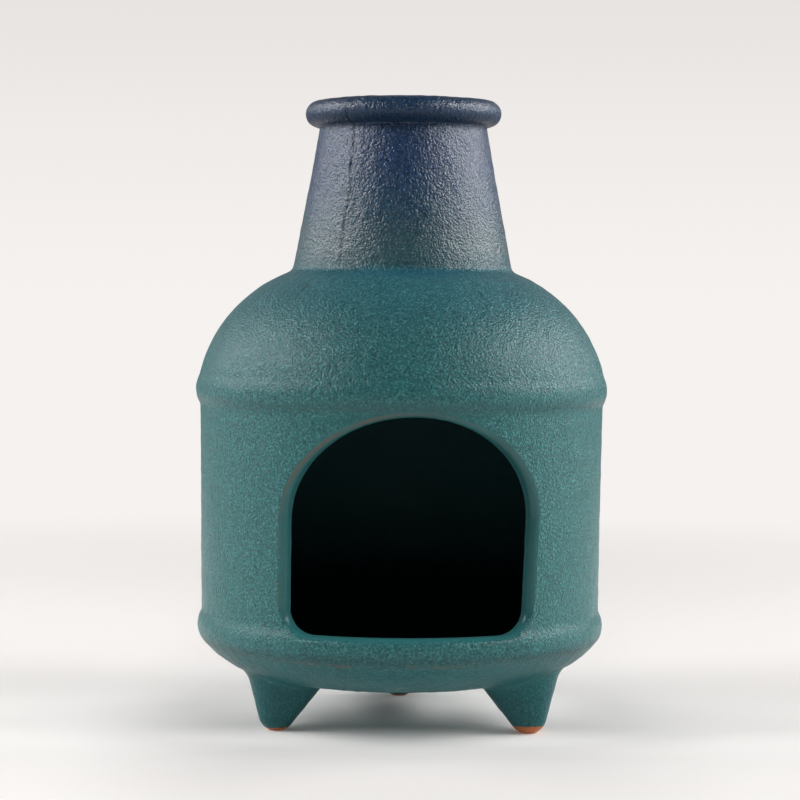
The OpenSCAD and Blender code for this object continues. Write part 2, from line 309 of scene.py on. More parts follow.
class Shell:
    """One closed piece of clay, gathered as rows of points joined by strips of faces."""

    def __init__(self):
        self.points, self.normals, self.inside, self.lip, self.faces = [], [], [], [], []
        self.count = 0

    def add(self, points, normals=None, inside=0.0, lip=0.0):
        """Adds a row of points and returns their numbers. A normal keeps a seam invisible."""
        size = len(points)
        self.points.append(points)
        self.normals.append(np.zeros((size, 3)) if normals is None else normals)
        self.inside.append(np.broadcast_to(inside, size))
        self.lip.append(np.broadcast_to(lip, size))
        self.count += size
        return np.arange(self.count - size, self.count)

    def strip(self, below, above, around=True):
        """Joins two rows with quads that face outwards when above is further up the outside."""
        last = len(below) if around else len(below) - 1
        k = np.arange(last)
        n = (k + 1) % len(below)
        self.faces.append(np.column_stack([below[k], below[n], above[n], above[k]]))

    def loft(self, numbers, closed=False):
        for below, above in zip(numbers, numbers[1:]):
            self.strip(below, above)
        if closed:
            self.strip(numbers[-1], numbers[0])

    def skin(self, travel, edge=False, azimuth=AZIMUTHS):
        """Adds a row of the finished surface."""
        travel = np.broadcast_to(travel, azimuth.shape)
        inside = smoothstep(travel, AT["roll"] + RIM_GLAZE, AT["rim"] + DARK_DEPTH)
        normals = surface_normal(azimuth, travel) if edge else None
        return self.add(surface(azimuth, travel), normals, inside)

    def hidden(self, r, z):
        """Adds a plain round row inside a joint."""
        r, z = np.broadcast_to(r, COLUMNS), np.broadcast_to(z, COLUMNS)
        turn = np.radians(AZIMUTHS)
        return self.add(np.column_stack([r * np.sin(turn), -r * np.cos(turn), z]), inside=1.0)

    def joint(self, *places):
        """Adds plain round rows at radii and heights."""
        return [self.hidden(r, z) for r, z in places]

    def sheet(self, start, end):
        """Rows of the finished surface from start to end, which may differ by azimuth."""
        shares = row_shares(float(np.mean(start)), float(np.mean(end)))
        start, end = np.broadcast_to(start, COLUMNS), np.broadcast_to(end, COLUMNS)
        last = len(shares) - 1
        return [self.skin(start + (end - start) * share, k in (0, last))
                for k, share in enumerate(shares)]

    def build(self, name, node, slot, material):
        points = np.vstack(self.points)
        rounded = np.round(points, 4)
        _, first, merged = np.unique(rounded, axis=0, return_index=True, return_inverse=True)
        merged = merged.reshape(-1)
        faces = []
        for face in merged[np.vstack(self.faces)].tolist():
            distinct = list(dict.fromkeys(face))
            if len(distinct) > 2:
                faces.append(distinct)
        mesh = bpy.data.meshes.new(name)
        mesh.from_pydata((points[first] / 1000).tolist(), [], faces)
        mesh.polygons.foreach_set("use_smooth", [True] * len(mesh.polygons))
        mesh.set_sharp_from_angle(angle=math.radians(SHARP_ANGLE))
        for label, rows_of in (("inside", self.inside), ("lip", self.lip)):
            attribute = mesh.attributes.new(label, "FLOAT", "POINT")
            attribute.data.foreach_set("value", np.concatenate(rows_of)[first].astype(np.float32))
        mesh.normals_split_custom_set_from_vertices(np.vstack(self.normals)[first].tolist())
        mesh.materials.append(material)
        mesh.validate()
        piece = bpy.data.objects.new(name, mesh)
        scene.collection.objects.link(piece)
        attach(piece, "root")
        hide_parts(node)


def run_on(length, full, none):
    """How far the belly runs on past a band's edge, by the angle from the mouth's middle."""
    return length * (1 - smoothstep(np.abs(AZIMUTHS - MOUTH_TURN), full, none))


# The mouth cuts into the lower band and nearly reaches the shoulder band
BELLY_FOOT_Z = LOW_BAND_HEAD - run_on(5.15, 41, 49)
BELLY_HEAD_Z = HIGH_BAND_FOOT + run_on(2.4, 15, 31)
BELLY_FOOT, BELLY_HEAD = travel_at(BELLY_FOOT_Z), travel_at(BELLY_HEAD_Z)


def base_dish(material):
    shell = Shell()
    outside = shell.sheet(0, AT["dish"])
    joint = shell.joint((REBATE_LOW, LOW_BAND_FOOT), (REBATE_LOW, LAP_LOW_FOOT),
            (LAP_LOW, LAP_LOW_FOOT), (LAP_LOW, LAP_LOW_HEAD))
    bowl = shell.sheet(travel_at(LAP_LOW_HEAD, inner=True), AT["middle"])
    shell.loft(outside + joint + bowl)
    shell.build("dish_clay", "base_dish", "glaze_teal", material)


def lower_band(material):
    shell = Shell()
    outside = shell.sheet(AT["dish"], BELLY_FOOT)
    back = shell.joint((REBATE_LOW, BELLY_FOOT_Z), (REBATE_LOW, LOW_BAND_FOOT))
    shell.loft(outside + back, closed=True)
    shell.build("lower_band_clay", "lower_band", "glaze_teal", material)


def shoulder_band(material):
    shell = Shell()
    outside = shell.sheet(BELLY_HEAD, AT["high_band"])
    back = shell.joint((REBATE_HIGH, HIGH_BAND_HEAD), (REBATE_HIGH, BELLY_HEAD_Z))
    shell.loft(outside + back, closed=True)
    shell.build("shoulder_band_clay", "shoulder_band", "glaze_teal", material)


def dome(material):
    shell = Shell()
    outside = shell.sheet(AT["high_band"], AT["dome"])
    seat = shell.joint((CREASE_R, LEDGE_Z), (SPIGOT_R, LEDGE_Z))
    inner = shell.sheet(AT["spigot"], travel_at(LAP_HIGH_FOOT, inner=True))
    joint = shell.joint((LAP_HIGH, LAP_HIGH_FOOT), (LAP_HIGH, LAP_HIGH_HEAD),
            (REBATE_HIGH, LAP_HIGH_HEAD), (REBATE_HIGH, HIGH_BAND_HEAD))
    shell.loft(outside + seat + inner + joint, closed=True)
    shell.build("dome_clay", "dome", "glaze_dusk", material)


def neck(material):
    shell = Shell()
    outside = shell.sheet(AT["dome"], AT["neck"])
    top = shell.joint((NECK_TOP_R, NECK_TOP_Z))
    flue = shell.sheet(AT["rim"], AT["spigot"])
    spigot = shell.joint((SPIGOT_R, LEDGE_Z), (CREASE_R, LEDGE_Z))
    shell.loft(outside + top + flue + spigot, closed=True)
    shell.build("neck_clay", "neck", "glaze_navy", material)


def rim_roll(material):
    shell = Shell()
    outside = shell.sheet(AT["neck"], AT["rim"])
    shell.loft(outside + shell.joint((NECK_TOP_R, NECK_TOP_Z)), closed=True)
    shell.build("rim_roll_clay", "rim_roll", "glaze_navy", material)


# ---- the belly and its mouth

MOUTH_FIRST, MOUTH_LAST = 154, 283  # columns between which the mesh follows the mouth
EDGE_ROUND = 2.4  # radius of the sponged outer edge of the mouth
EDGE_ROUND_IN = 0.7  # the same inside
LIP_REACH = 8.0  # where the lip value fades out
OUTLINE_STEP = 0.25  # spacing of the points of the mouth's outline
BELLY_ROW = 1.25  # longest step between the belly's rows
OUTER_ROWS, OUTER_CROWDING = 26, 1.8  # rows outside, and how they crowd
CUT_ROWS = 7  # rows through the wall
INNER_ROWS, INNER_CROWDING = 18, 2.4  # the same inside
GLAZE_END = 1.5  # how soon the glaze ends on the inside

PER_DEGREE = math.radians(1) * (BELLY_R_LOW + BELLY_R_HIGH) / 2  # of the belly's wall
FOOT_IN = float(travel_at(LAP_LOW_HEAD, inner=True))
HEAD_IN = float(travel_at(LAP_HIGH_FOOT, inner=True))


def mouth_outline():
    """The mouth's outline as azimuths and heights, anticlockwise seen from the front."""
    arch = np.radians(np.linspace(0, 180, 721))
    corner = np.radians(np.linspace(0, 90, 91))
    x = np.concatenate([MOUTH_HALF * np.cos(arch),
            MOUTH_CORNER - MOUTH_HALF_LOW - MOUTH_CORNER * np.cos(corner),
            MOUTH_HALF_LOW - MOUTH_CORNER + MOUTH_CORNER * np.sin(corner)])
    z = np.concatenate([MOUTH_RISE * np.sin(arch),
            MOUTH_CORNER * (1 - np.sin(corner)) - MOUTH_STRAIGHT,
            MOUTH_CORNER * (1 - np.cos(corner)) - MOUTH_STRAIGHT])
    x, z = evenly(np.column_stack([x, z]), OUTLINE_STEP).T
    across = x + z * math.tan(math.radians(MOUTH_LEAN))
    return MOUTH_TURN + np.degrees(np.arcsin(across / MOUTH_FACE_R)), z + MOUTH_MID_Z


def evenly(points, spacing):
    """A closed path with a point at every spacing."""
    loop = np.vstack([points, points[:1]])
    travel = np.concatenate([[0], np.cumsum(np.hypot(*np.diff(loop, axis=0).T))])
    stops = np.arange(0, travel[-1], spacing)
    return np.column_stack([np.interp(stops, travel, loop[:, k]) for k in (0, 1)])


def outer_travel(column, share):
    return BELLY_FOOT[column] + (BELLY_HEAD[column] - BELLY_FOOT[column]) * share


def inner_travel(share):
    return FOOT_IN + (HEAD_IN - FOOT_IN) * share


def belly_back(shell, shares):
    """The round wall beside and behind the mouth's mesh, outside and inside."""
    columns = np.arange(MOUTH_LAST, MOUTH_FIRST + COLUMNS + 1) % COLUMNS
    last = len(shares) - 1
    outside = [shell.skin(outer_travel(columns, share), k in (0, last), AZIMUTHS[columns])
            for k, share in enumerate(shares)]
    for below, above in zip(outside, outside[1:]):
        shell.strip(below, above, around=False)
    inside = [shell.skin(inner_travel(share), k in (0, last), AZIMUTHS[columns])
            for k, share in enumerate(shares)]
    for below, above in zip(inside, inside[1:]):
        shell.strip(above, below, around=False)


def frame_round_mouth(shares):
    """Columns and shares of the points that frame the mouth: bottom, right, top and left."""
    columns = np.arange(MOUTH_FIRST, MOUTH_LAST + 1)
    middle = shares[1:-1]
    right, left = np.full(len(middle), MOUTH_LAST), np.full(len(middle), MOUTH_FIRST)
    foot_shares, head_shares = np.zeros(len(columns)), np.ones(len(columns))
    return (np.concatenate([columns, right, columns[::-1], left]),
            np.concatenate([foot_shares, middle, head_shares, middle[::-1]]))


def outline_towards(target):
    """Where lines from the mouth's middle to the target cross its outline, and the way out there."""
    azimuth, height = mouth_outline()
    centre = np.array([MOUTH_TURN * PER_DEGREE, MOUTH_MID_Z - 4])
    outline = np.column_stack([azimuth * PER_DEGREE, height])
    ahead = np.roll(outline, -3, axis=0) - np.roll(outline, 3, axis=0)
    away = np.column_stack([ahead[:, 1], -ahead[:, 0]]) / np.hypot(*ahead.T)[:, None]
    bearing = np.unwrap(np.arctan2(*(outline - centre)[:, ::-1].T))
    wanted = np.arctan2(*(target - centre)[:, ::-1].T)
    turn = 2 * np.pi
    wanted = wanted + turn * np.round((bearing.mean() - wanted) / turn)
    known = np.concatenate([bearing - turn, bearing, bearing + turn])

    def looked_up(values):
        return np.column_stack([np.interp(wanted, known, np.tile(values[:, k], 3)) for k in (0, 1)])

    mouth, leave = looked_up(outline), looked_up(away)
    return mouth, leave / np.hypot(*leave.T)[:, None]


def spread(mouth, leave, goal, stop):
    """Points between the outline and the frame: square to the outline at first."""
    gap = goal - mouth
    reach = np.hypot(*gap.T)[:, None]
    bend = (1 - stop) ** 2
    return mouth + reach * stop * (bend * leave + (1 - bend) * gap / reach)


def sunk(radius, distance):
    """How far a rounded edge lies below the surface at that distance from the cut."""
    left = np.clip(radius - distance, 0, radius)
    return radius - np.sqrt(radius ** 2 - left ** 2)


def row_round_mouth(goal, mouth, leave, stop, rounding, inner=False):
    """Points of one row, and their distances from the outline. Rounding below 0 grows them."""
    place = spread(mouth, leave, goal, stop)
    distance = np.hypot(*(place - mouth).T)
    points = surface(place[:, 0] / PER_DEGREE, travel_at(place[:, 1], inner))
    lost = math.copysign(1, rounding) * sunk(abs(rounding), distance)
    points[:, :2] *= (1 - lost / np.hypot(points[:, 0], points[:, 1]))[:, None]
    return points, distance


def rows_to_edge(shell, goal, mouth, leave):
    """Rows from the frame to the mouth's rounded edge, and the points of the last one."""
    numbers = []
    for k in range(OUTER_ROWS - 1, -1, -1):
        stop = (k / OUTER_ROWS) ** OUTER_CROWDING
        points, distance = row_round_mouth(goal, mouth, leave, stop, EDGE_ROUND)
        numbers.append(shell.add(points, lip=np.clip(1 - distance / LIP_REACH, 0, 1)))
    return numbers, points


def rows_through_wall(shell, edge, mouth):
    """Rows through the wall along the radii, from lip value 1 to 2."""
    inside = surface(mouth[:, 0] / PER_DEGREE, travel_at(mouth[:, 1], inner=True))
    inner_r = np.hypot(inside[:, 0], inside[:, 1]) + EDGE_ROUND_IN
    outer_r = np.hypot(edge[:, 0], edge[:, 1])
    numbers = []
    for share in np.linspace(0, 1, CUT_ROWS)[1:]:
        r = outer_r + (inner_r - outer_r) * share
        points = edge.copy()
        points[:, :2] *= (r / outer_r)[:, None]
        points[:, 2] += (inside[:, 2] - edge[:, 2]) * share
        numbers.append(shell.add(points, lip=1 + share))
    return numbers


def rows_from_edge(shell, goal, mouth, leave):
    """Rows from the mouth's inner edge to the frame."""
    numbers = []
    for k in range(1, INNER_ROWS):
        stop = (k / INNER_ROWS) ** INNER_CROWDING
        points, distance = row_round_mouth(goal, mouth, leave, stop, -EDGE_ROUND_IN, inner=True)
        dark = smoothstep(distance, 0, GLAZE_END)
        numbers.append(shell.add(points, inside=dark, lip=2 * (1 - dark)))
    return numbers


def belly_front(shell, shares):
    """Rows round the mouth: over its edge, through the wall and out along the inside."""
    columns, column_shares = frame_round_mouth(shares)
    azimuth = AZIMUTHS[columns]
    outside, inside = outer_travel(columns, column_shares), inner_travel(column_shares)
    goal, goal_in = (np.column_stack([azimuth * PER_DEGREE, np.interp(travel, TRAVEL, PATH[:, 1])])
            for travel in (outside, inside))
    mouth, leave = outline_towards(goal)
    numbers = [shell.add(surface(azimuth, outside), surface_normal(azimuth, outside))]
    to_edge, edge = rows_to_edge(shell, goal, mouth, leave)
    numbers += to_edge
    numbers += rows_through_wall(shell, edge, mouth)
    numbers += rows_from_edge(shell, goal_in, mouth, leave)
    numbers.append(shell.add(surface(azimuth, inside), surface_normal(azimuth, inside), inside=1.0))
    shell.loft(numbers)


def belly_joints(shell):
    """The rebates and laps at the foot and the head, which the bands hide."""
    foot_rows = [shell.skin(BELLY_FOOT)]
    foot_rows += shell.joint((REBATE_LOW, BELLY_FOOT_Z), (REBATE_LOW, LAP_LOW_FOOT),
            (LAP_LOW, LAP_LOW_FOOT), (LAP_LOW, LAP_LOW_HEAD))
    foot_rows += [shell.skin(FOOT_IN)]
    head_rows = [shell.skin(BELLY_HEAD)]
    head_rows += shell.joint((REBATE_HIGH, BELLY_HEAD_Z), (REBATE_HIGH, LAP_HIGH_HEAD),
            (LAP_HIGH, LAP_HIGH_HEAD), (LAP_HIGH, LAP_HIGH_FOOT))
    head_rows += [shell.skin(HEAD_IN)]
    shell.loft(foot_rows[::-1])
    shell.loft(head_rows)


def belly(material):
    shell = Shell()
    shares = row_shares(AT["low_band"], AT["belly"], BELLY_ROW)
    belly_back(shell, shares)
    belly_front(shell, shares)
    belly_joints(shell)
    shell.build("belly_clay", "belly", "glaze_teal", material)


# ---- the feet

FOOT_FACET = 3.75  # degrees between two lines of a foot's cone
FOOT_LUMPS = 1.3  # how much lumpier a foot is than the body
FILLET = 3.4  # reach of the clay smeared round a foot's root
NOSE_ROWS, SHAFT_ROWS, FILLET_ROWS = 14, 18, 11
SKIRT_DEPTH, CAP_DEPTH = 0.12, 1.6  # how far the fillet's edge and the cap lie in the dish
CAP_SHARES = (1.0, 0.6, 0.25, 0.0)
HIGHEST_ROOT, HALVINGS = 40.0, 40


def dish_travel(point_r, point_z):
    """How far along the section the dish's outside is nearest to a point."""
    angle = np.arctan2(point_z - DISH_ARC_Z, np.maximum(point_r - DISH_FLAT_R, 1e-9))
    on_arc = AT["flat"] + (angle + math.pi / 2) * DISH_ARC_R
    return np.where(point_r > DISH_FLAT_R, on_arc, point_r)


def dish_gap(points):
    """Distance from the dish's outside, positive below it."""
    r = np.hypot(points[..., 0], points[..., 1])
    on_arc = np.hypot(r - DISH_FLAT_R, points[..., 2] - DISH_ARC_Z) - DISH_ARC_R
    return np.where(r > DISH_FLAT_R, on_arc, UNDERSIDE_Z - points[..., 2])


def on_dish(points, depth):
    """The nearest points of the dish's finished surface, sunk by depth."""
    r = np.hypot(points[:, 0], points[:, 1])
    azimuth = np.degrees(np.arctan2(points[:, 0], -points[:, 1]))
    travel = dish_travel(r, points[:, 2])
    return surface(azimuth, travel) - depth * surface_normal(azimuth, travel)


class Cone:
    """A cone that leans outwards and stands on a blunt, round nose."""

    def __init__(self, azimuth, distance, splay):
        turn = np.radians(np.arange(0, 360, FOOT_FACET))
        lean, out, flare = math.radians(splay), math.radians(azimuth), math.radians(FOOT_FLARE)
        up = np.array([0, 0, 1.0])
        outward = np.array([math.sin(out), -math.cos(out), 0.0])
        sideways = np.array([math.cos(out), math.sin(out), 0.0])
        across = math.cos(lean) * outward + math.sin(lean) * up
        self.axis = math.cos(lean) * up - math.sin(lean) * outward
        self.spoke = np.cos(turn)[:, None] * across + np.sin(turn)[:, None] * sideways
        self.growth = math.tan(flare)
        self.tip = outward * distance
        self.nose = (FOOT_TIP_R - FOOT_SINK * self.growth) / (1 / math.cos(flare) - self.growth)
        self.start = self.nose - FOOT_SINK - self.nose * math.sin(flare)

    def ring(self, height):
        """Points round the cone at one height, or at a height for each of them."""
        height = np.asarray(height, float).reshape(-1, 1)
        return self.tip + height * self.axis + (FOOT_TIP_R + height * self.growth) * self.spoke

    def nose_ring(self, angle):
        """Points round the nose at an angle from its lowest point."""
        height = self.nose * (1 - math.cos(math.radians(angle))) - FOOT_SINK
        reach = self.nose * math.sin(math.radians(angle))
        points = self.tip + height * self.axis + reach * self.spoke
        points[:, 2] = np.maximum(points[:, 2], 0)
        return points

    def root(self):
        """The heights at which the cone's lines run into the dish."""
        low = np.full(len(self.spoke), self.start)
        high = np.full(len(self.spoke), HIGHEST_ROOT)
        for _ in range(HALVINGS):
            middle = (low + high) / 2
            below = dish_gap(self.ring(middle)) > 0
            low, high = np.where(below, middle, low), np.where(below, high, middle)
        return (low + high) / 2


def foot(name, azimuth, distance, splay, material):
    """A splayed cone with a blunt, round nose, and a fillet that spreads onto the dish."""
    shell, cone = Shell(), Cone(azimuth, distance, splay)
    root = cone.root()
    rings = [shell.add(cone.nose_ring(angle)) for angle in np.linspace(0, 90 - FOOT_FLARE, NOSE_ROWS)]
    shaft_end = np.maximum(root - FILLET, cone.start + 1)
    for share in np.linspace(0, 1, SHAFT_ROWS)[1:-1]:
        points = cone.ring(cone.start + (shaft_end - cone.start) * share)
        lump = sum(size * field(points, wave) for size, wave in FIELDS[1:])
        lift = FOOT_LUMPS * lump * math.sin(math.pi * share)
        rings.append(shell.add(points + lift[:, None] * cone.spoke))
    start, corner = cone.ring(shaft_end), cone.ring(root)
    skirt = on_dish(corner + cone.spoke * FILLET, SKIRT_DEPTH)
    for t in np.linspace(0, 1, FILLET_ROWS):
        rings.append(shell.add((1 - t) ** 2 * start + 2 * t * (1 - t) * corner + t * t * skirt))
    hub = corner.mean(axis=0)
    rings += [shell.add(on_dish(hub + (skirt - hub) * share, CAP_DEPTH)) for share in CAP_SHARES]
    shell.loft(rings)
    shell.build(name + "_clay", name, "glaze_foot", material)


# ---- materials


class Nodes:
    """Builds one node tree. Every method but put adds nodes and returns an output."""

    def __init__(self, tree):
        self.tree = tree
        self.shader = tree.nodes.get("Principled BSDF")

    def add(self, kind, inputs=(), output=0, **settings):
        node = self.tree.nodes.new("ShaderNode" + kind)
        for key, value in settings.items():
            setattr(node, key, value)
        for key, value in dict(inputs).items():
            self.put(node.inputs[key], value)
        return node.outputs[output]

    def put(self, socket, value):
        if isinstance(value, bpy.types.NodeSocket):
            self.tree.links.new(value, socket)
        else:
            socket.default_value = value

    def math(self, operation, a, b=0.0):
        return self.add("Math", {0: a, 1: b}, operation=operation)

    def plus(self, a, b):
        return self.math("ADD", a, b)

    def less(self, a, b):
        return self.math("SUBTRACT", a, b)

    def over(self, a, b):
        return self.math("DIVIDE", a, b)

    def most(self, a, b):
        return self.math("MAXIMUM", a, b)

    def times(self, first, *others):
        for other in others:
            first = self.math("MULTIPLY", first, other)
        return first

    def length(self, a, b):
        return self.math("SQRT", self.plus(self.times(a, a), self.times(b, b)))

    def scaled(self, vector, factors):
        return self.add("VectorMath", {0: vector, 1: factors}, operation="MULTIPLY")

    def split(self, vector):
        """The x, y and z of a vector."""
        return [self.add("SeparateXYZ", {0: vector}, output=k) for k in range(3)]

    def ramp(self, value, low, high, start=0.0, end=1.0):
        """A smooth step of value from low to high."""
        return self.add("MapRange", {"Value": value, "From Min": low, "From Max": high,
                "To Min": start, "To Max": end},
                interpolation_type="SMOOTHSTEP")

    def fall(self, value, low, high):
        return self.ramp(value, low, high, 1.0, 0.0)

    def near(self, value, middle, half):
        """1 at the middle, falling smoothly to 0 at half away from it."""
        return self.fall(self.math("ABSOLUTE", self.less(value, middle)), 0.0, half)

    def mix(self, share, a, b):
        return self.add("Mix", {0: share, 6: a, 7: b}, output=2, data_type="RGBA")

    def mix_value(self, share, a, b):
        return self.add("Mix", {0: share, 2: a, 3: b}, data_type="FLOAT")

    def noise(self, where, size, detail=2.0, roughness=0.5, distortion=0.0):
        """Noise from 0 to 1 whose features are about size millimetres."""
        return self.add("TexNoise", {"Vector": where, "Scale": 1 / size, "Detail": detail,
                "Roughness": roughness, "Distortion": distortion})

    def wobble(self, where, size, spread_out, detail=2.0, roughness=0.5):
        """Noise that swings to both sides of 0."""
        return self.times(self.less(self.noise(where, size, detail, roughness), 0.5), spread_out)

    def finish(self, **settings):
        """Sets the shader's inputs, named with underscores."""
        for name, value in settings.items():
            self.put(self.shader.inputs[name.replace("_", " ")], value)

    def attribute(self, name):
        return self.add("Attribute", output=2, attribute_name=name)

    def colours(self, value, stops):
        """A colour ramp from (position, colour) pairs."""
        result = self.add("ValToRGB", {0: value})
        elements = result.node.color_ramp.elements
        while len(elements) < len(stops):
            elements.new(0.5)
        for element, (position, colour) in zip(elements, stops):
            element.position = position
            element.color = (*colour, 1)
        return result


def new_material(name):
    material = bpy.data.materials.new(name)
    material.use_nodes = True
    return material, Nodes(material.node_tree)


# height in millimetres and colour of the glaze; it is darker towards the bottom
GLAZE_BY_HEIGHT = [
    (15, (0.022, 0.106, 0.114)),
    (31, (0.016, 0.122, 0.129)),
    (40, (0.033, 0.164, 0.168)),
    (60, (0.031, 0.160, 0.161)),
    (120, (0.031, 0.157, 0.162)),
    (150, (0.036, 0.152, 0.164)),
    (172, (0.039, 0.158, 0.188)),
    (190, (0.015, 0.066, 0.102)),
    (215, (0.006, 0.034, 0.106)),
    (236, (0.009, 0.036, 0.092)),
]
TOP_OF_RAMP = 250.0
CLAY = (0.46, 0.155, 0.055, 1)
WORN = (0.135, 0.100, 0.075, 1)
WORN_LIGHT = (0.26, 0.20, 0.17, 1)
# the inside's colour, darker than the glaze
DARK_INSIDE = (0.036, 0.100, 0.110, 1)
PALE = (0.20, 0.32, 0.32, 1)
BROWN = (0.24, 0.13, 0.09, 1)
BLOTCH = (0.02, 0.06, 0.08, 1)
SPECK = (0.12, 0.22, 0.23, 1)
# colours of the painted shade, of the painted light on the sill's top and of the painted shade under
# the roll
PAINTED_SHADE = (0.006, 0.045, 0.048, 1)
PAINTED_SILL_LIGHT = (0.040, 0.215, 0.225, 1)
SHADE_UNDER_ROLL = (0.006, 0.016, 0.028, 1)
NECK_FOOT = (0.030, 0.070, 0.078, 1)
BELOW_NECK = (0.014, 0.095, 0.170, 1)
# colour of the painted shade in the seam's groove
GROOVE_SHADE = (0.005, 0.010, 0.016, 1)
SCRATCH_DARK = (0.008, 0.035, 0.038, 1)
# colour factors of the pebble's painted shade in its pits and painted highlight on its tips
PIT_SHADE_FACTORS, TIP_HIGHLIGHT_FACTORS = (0.2, 0.2, 0.2), (2.0, 1.75, 1.7)
PEBBLE, COARSE_PEBBLE = 0.8, 1.5  # sizes; the coarse one is the neck's
PEBBLE_HEIGHT = 0.00042  # in metres
MARKS = [  # azimuth, height, half width, half height, share and colour of a rub or chip
    (-1.5, 21.5, 5.0, 0.7, 0.35, PALE),
    (0.4, 22.6, 2.2, 0.5, 0.5, PALE),
    (66.0, 72.0, 1.2, 2.4, 0.22, PALE),
    (-54.0, 19.9, 0.6, 0.6, 1.0, PALE),
    (-71.0, 42.0, 1.6, 1.0, 0.5, PALE),
    (-27.0, 160.0, 0.35, 1.6, 0.35, PALE),
    (-41.0, 45.2, 0.5, 0.9, 1.0, BROWN),
    (-40.0, 43.6, 0.4, 0.4, 1.0, PALE),
]


class Spot:
    """Where a point of the pot is, in millimetres and radians."""

    def __init__(self, n):
        self.where = n.scaled(n.add("TexCoord", output=3), (1000, 1000, 1000))
        self.x, self.y, self.z = n.split(self.where)
        self.around = n.math("ARCTAN2", self.x, n.times(self.y, -1.0))
        self.radius = n.length(self.x, self.y)
        self.lip = n.attribute("lip")
        self.unglazed = n.most(n.attribute("inside"), n.ramp(self.lip, 1.9, 2.0))


def sprayed(n, at):
    """The sprayed colour, whose edges drift, with a mist of droplets in them."""
    drift = n.wobble(at.where, 34, 14)
    mist = n.wobble(at.where, 1.3, 24, 3, 0.6)
    height = n.over(n.plus(n.plus(at.z, drift), mist), TOP_OF_RAMP)
    colour = n.colours(height, [(z / TOP_OF_RAMP, tint) for z, tint in GLAZE_BY_HEIGHT])
    blotch = n.ramp(n.noise(at.where, 9, 3, 0.6), 0.35, 0.75, 0.0, 0.12)
    speck = n.ramp(n.noise(at.where, 0.55, 2, 0.6), 0.62, 0.82, 0.0, 0.15)
    return n.mix(speck, n.mix(blotch, colour, BLOTCH), SPECK)


def over_arch(n, at):
    """The smooth patch between the mouth's arch and the shoulder band."""
    return n.times(n.near(at.z, 121.0, 9.0), n.near(at.around, 0.05, 0.5))


def pebble_share(n, at):
    """How far the pebble shows: it is wiped off round the mouth, and weak under the dish."""
    lip_edge = n.plus(at.lip, n.ramp(at.z, 46.0, 54.0, -0.2, 0.0))
    smooth = n.most(n.ramp(lip_edge, 0.62, 0.80), n.times(at.unglazed, 0.5))
    smooth = n.most(smooth, n.times(over_arch(n, at), 0.9))
    smooth = n.most(smooth, n.ramp(at.z, 30.0, 34.0, 0.5, 0.0))
    return n.less(1.0, n.times(smooth, 0.9))


def bent_place(n, at):
    """Coordinates that wander, so that the pebble's short ridges bend."""
    bend = n.add("TexNoise", {"Vector": at.where, "Scale": 0.45, "Detail": 1.0}, output=1)
    return n.add("VectorMath", {0: at.where, 1: n.scaled(bend, (0.5, 0.5, 0.5))}, operation="ADD")


def pebble_shade_and_highlight(n, colour, ridges, share):
    """Painted shade and painted highlight of the pebble: its pits are darkened and its tips
    lightened.
    """
    # painted shade in the pits, painted highlight on the tips
    pits = n.times(n.ramp(ridges, 0.28, 0.50, 0.55, 0.0), share)
    tips = n.times(n.ramp(ridges, 0.52, 0.70, 0.0, 0.95), share)
    pit_shade_colour, tip_highlight_colour = n.scaled(colour, PIT_SHADE_FACTORS), n.scaled(colour, TIP_HIGHLIGHT_FACTORS)
    return n.mix(tips, n.mix(pits, colour, pit_shade_colour), tip_highlight_colour)


def round_neck(n, at, colour):
    """Thin, greyish glaze at the foot of the neck, and a blue tint below it."""
    above = n.times(n.ramp(at.z, CREASE_Z, CREASE_Z + 2.5),
            n.fall(at.z, CREASE_Z + 8, CREASE_Z + 26), 0.42)
    below = n.times(n.ramp(at.z, CREASE_Z - 4, CREASE_Z - 1),
            n.fall(at.z, CREASE_Z, CREASE_Z + 1.5),
            n.near(at.around, 0.05, 0.9), 0.4)
    return n.mix(below, n.mix(above, colour, NECK_FOOT), BELOW_NECK)


def painted_shade_and_sill_light(n, at, colour):
    """Painted shade under the bands, the roll and the arch and on the right side of the mouth's lip,
    and painted light on the sill's top.
    """
    # painted shade under the two bands and over the mouth's arch
    shade_under_bands = n.most(n.times(n.near(at.z, HIGH_BAND_FOOT + 1.2, 3.4), 0.32),
            n.times(n.near(at.z, LOW_BAND_FOOT + 0.4, 3.2), 0.38))
    shade_under_bands = n.most(shade_under_bands, n.times(over_arch(n, at), 0.3))
    # painted shade on the right side of the mouth's lip
    shaded_right_lip = n.times(n.ramp(at.lip, 0.5, 0.9), n.ramp(at.x, 25.0, 38.0), 0.35)
    # painted light on the sill's top
    lit_sill = n.times(n.ramp(at.lip, 0.7, 1.0), n.fall(at.z, 44.0, 50.0), 0.5)
    # painted shade under the rim roll
    shade_under_roll = n.times(n.near(at.z, RIM_Z - 4.0, 4.0), 0.6)
    colour = n.mix(n.most(shade_under_bands, shaded_right_lip), colour, PAINTED_SHADE)
    return n.mix(shade_under_roll, n.mix(lit_sill, colour, PAINTED_SILL_LIGHT), SHADE_UNDER_ROLL)


def seam_groove_shade(n, at, colour):
    """Painted shade in the groove of the mould seam, which is darker than the glaze round it."""
    wander = n.plus(*[n.times(n.math("SINE", n.plus(n.times(at.z, rate), start)), reach)
            for reach, rate, start in SEAM_SWAYS])
    beside = n.times(n.less(at.around, math.radians(SEAM_AZIMUTH)), at.radius)
    off_seam = n.less(n.less(beside, wander), GROOVE_ASIDE)
    on_neck = n.times(n.ramp(at.z, CREASE_Z, CREASE_Z + 5), n.fall(at.z, RIM_Z - 3, RIM_Z + 1))
    broken = n.ramp(n.noise(at.where, 5, 2), 0.3, 0.6, 0.55, 1.0)
    groove = n.times(n.near(off_seam, 0.0, 0.55), on_neck, broken, 0.9)
    return n.mix(groove, colour, GROOVE_SHADE)


